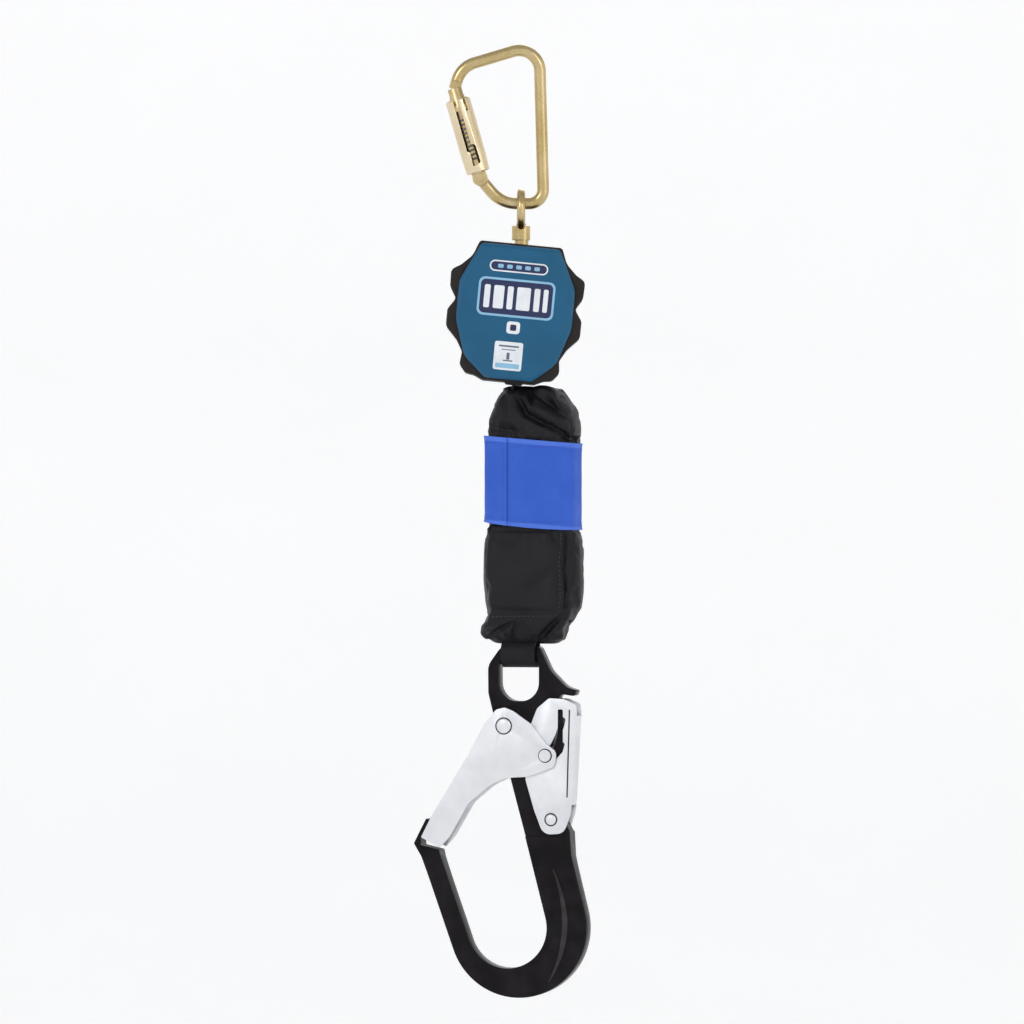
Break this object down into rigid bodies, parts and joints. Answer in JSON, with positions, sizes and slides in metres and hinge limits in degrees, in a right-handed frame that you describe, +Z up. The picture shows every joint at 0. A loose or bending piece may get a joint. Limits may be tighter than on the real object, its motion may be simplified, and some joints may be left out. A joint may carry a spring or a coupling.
{
  "type": "self retracting lifeline",
  "caption": "Personal self retracting lifeline: twist lock anchor carabiner, swivel, round spring drum housing, energy absorber pouch with wrap band, and rebar hook.",
  "frame": {"origin": "the inner top of the anchor carabiner, where it bears on an anchor, above the housing's top centre", "axes": "+Z up along the hanging lifeline, +X to the right as its front cover is seen, +Y away from the viewer, out of the back"},
  "size_m": [0.1279, 0.0567, 0.6857],
  "materials": {
    "gold_zinc": "gold chromate over zinc plate, satin",
    "bright_zinc": "bright zinc plate, fine brushed",
    "white_zinc": "bright white zinc pressed sheet, smooth",
    "black_forging": "gloss black powder coat on forged steel",
    "teal_cover": "moulded nylon, semi gloss",
    "black_nylon": "moulded nylon, fine texture",
    "bumper_rubber": "matt moulded rubber",
    "white_label": "printed vinyl label",
    "steel": "plain zinc plated steel",
    "bronze": "sintered bronze, oiled",
    "aluminium": "die cast and turned aluminium",
    "spring_steel": "blued spring steel",
    "black_webbing": "woven polyester webbing, ribbed",
    "black_cloth": "coated nylon pouch cloth, slight sheen",
    "blue_cloth": "blue wrap band, close weave"
  },
  "bodies": {
    "carabiner": {"carabiner_frame": "gold_zinc", "carabiner_rivet": "gold_zinc"},
    "carabiner_gate": {"carabiner_gate": "gold_zinc", "gate_plunger": "steel", "gate_plunger_spring": "spring_steel", "sleeve_spring": "spring_steel"},
    "lock_sleeve": {"lock_sleeve": "gold_zinc"},
    "swivel": {"swivel_eye": "gold_zinc", "swivel_washer": "bright_zinc", "swivel_nut": "bright_zinc"},
    "housing": {"front_cover": "teal_cover", "rear_cover": "teal_cover", "front_case": "black_nylon", "rear_case": "black_nylon", "bumper": "bumper_rubber", "inspection_tag": "white_label", "case_screws": "steel", "load_bracket": "steel", "frame_tie_bolts": "steel", "swivel_bush": "bronze", "shaft_bush_front": "bronze", "shaft_bush_rear": "bronze", "ratchet_ring": "steel", "spring_case": "black_nylon", "webbing_guide": "black_nylon", "webbing_lead": "black_webbing"},
    "drum": {"drum_shaft": "steel", "drum_hub": "aluminium", "drum_flange_front": "aluminium", "drum_flange_rear": "aluminium", "wound_webbing": "black_webbing", "webbing_anchor_pin": "steel", "pawl_pivot_a": "steel", "pawl_pivot_b": "steel", "pawl_spring_a": "spring_steel", "pawl_spring_b": "spring_steel", "retract_spring": "spring_steel"},
    "pawl_a": {"pawl_a": "steel"},
    "pawl_b": {"pawl_b": "steel"},
    "absorber": {"absorber_pouch": "black_cloth", "absorber_core": "black_webbing", "wrap_band": "blue_cloth", "webbing_tail": "black_webbing", "hook_loop": "black_webbing"},
    "hook": {"hook_body": "black_forging", "hook_gate_rivet": "white_zinc", "hook_lever_rivet": "white_zinc", "hook_gate_spring": "spring_steel", "hook_lever_spring": "spring_steel"},
    "hook_gate": {"hook_gate": "white_zinc", "latch_pin": "white_zinc"},
    "lock_lever": {"lock_lever": "white_zinc"}
  },
  "joints": [
    {"name": "gate_hinge", "type": "hinge", "parent": "carabiner", "child": "carabiner_gate", "pos_m": [-0.0295, 0, -0.088], "axis": [0, 1, 0], "range_deg": [0, 22], "stiffness_Nm_per_rad": 0.05, "springref_deg": -20.05},
    {"name": "sleeve_twist", "type": "hinge", "parent": "carabiner_gate", "child": "lock_sleeve", "pos_m": [-0.0295, 0, -0.088], "axis": [-0.2749, 0, 0.9615], "range_deg": [0, 90], "stiffness_Nm_per_rad": 0.01, "springref_deg": -28.65},
    {"name": "eye_swing", "type": "hinge", "parent": "carabiner", "child": "swivel", "pos_m": [0, 0, -0.1063], "axis": [1, 0, 0], "range_deg": [-70, 70]},
    {"name": "housing_swivel", "type": "hinge", "parent": "swivel", "child": "housing", "pos_m": [0, 0, -0.138], "axis": [0.0958, 0, 0.9954], "continuous": true},
    {"name": "webbing_payout", "type": "slide", "parent": "housing", "child": "absorber", "axis": [0, 0, -1], "range_m": [0, 1.1], "stiffness_N_per_m": 4, "springref_m": -6},
    {"name": "drum_spin", "type": "hinge", "parent": "housing", "child": "drum", "pos_m": [-0.0046, 0, -0.18578], "axis": [0, 1, 0], "range_deg": [0, 2520], "deforming": ["retract_spring"]},
    {"name": "pawl_a_swing", "type": "hinge", "parent": "drum", "child": "pawl_a", "pos_m": [-0.00847, 0, -0.16331], "axis": [0, -1, 0], "range_deg": [0, 14], "stiffness_Nm_per_rad": 0.002, "springref_deg": -17.19},
    {"name": "pawl_b_swing", "type": "hinge", "parent": "drum", "child": "pawl_b", "pos_m": [-0.00074, 0, -0.20825], "axis": [0, -1, 0], "range_deg": [0, 14], "stiffness_Nm_per_rad": 0.002, "springref_deg": -17.19},
    {"name": "hook_swing", "type": "hinge", "parent": "absorber", "child": "hook", "pos_m": [-0.00019, -0.00143, -0.4305], "axis": [0.9659, -0.2588, 0], "range_deg": [-75, 75]},
    {"name": "hook_gate_hinge", "type": "hinge", "parent": "hook", "child": "hook_gate", "pos_m": [-0.01004, 0.00121, -0.482], "axis": [-0.2588, -0.9659, 0], "range_deg": [0, 40], "stiffness_Nm_per_rad": 0.15, "springref_deg": -22.92},
    {"name": "lever_press", "type": "hinge", "parent": "hook", "child": "lock_lever", "pos_m": [0.02338, -0.00774, -0.549], "axis": [-0.2588, -0.9659, 0], "range_deg": [0, 4.85]}
  ],
  "couplings": [
    {"joint": "drum_spin", "follows": "webbing_payout", "rad_per_m": 39.98},
    {"joint": "lever_press", "follows": "hook_gate_hinge", "ratio": 0.12}
  ]
}
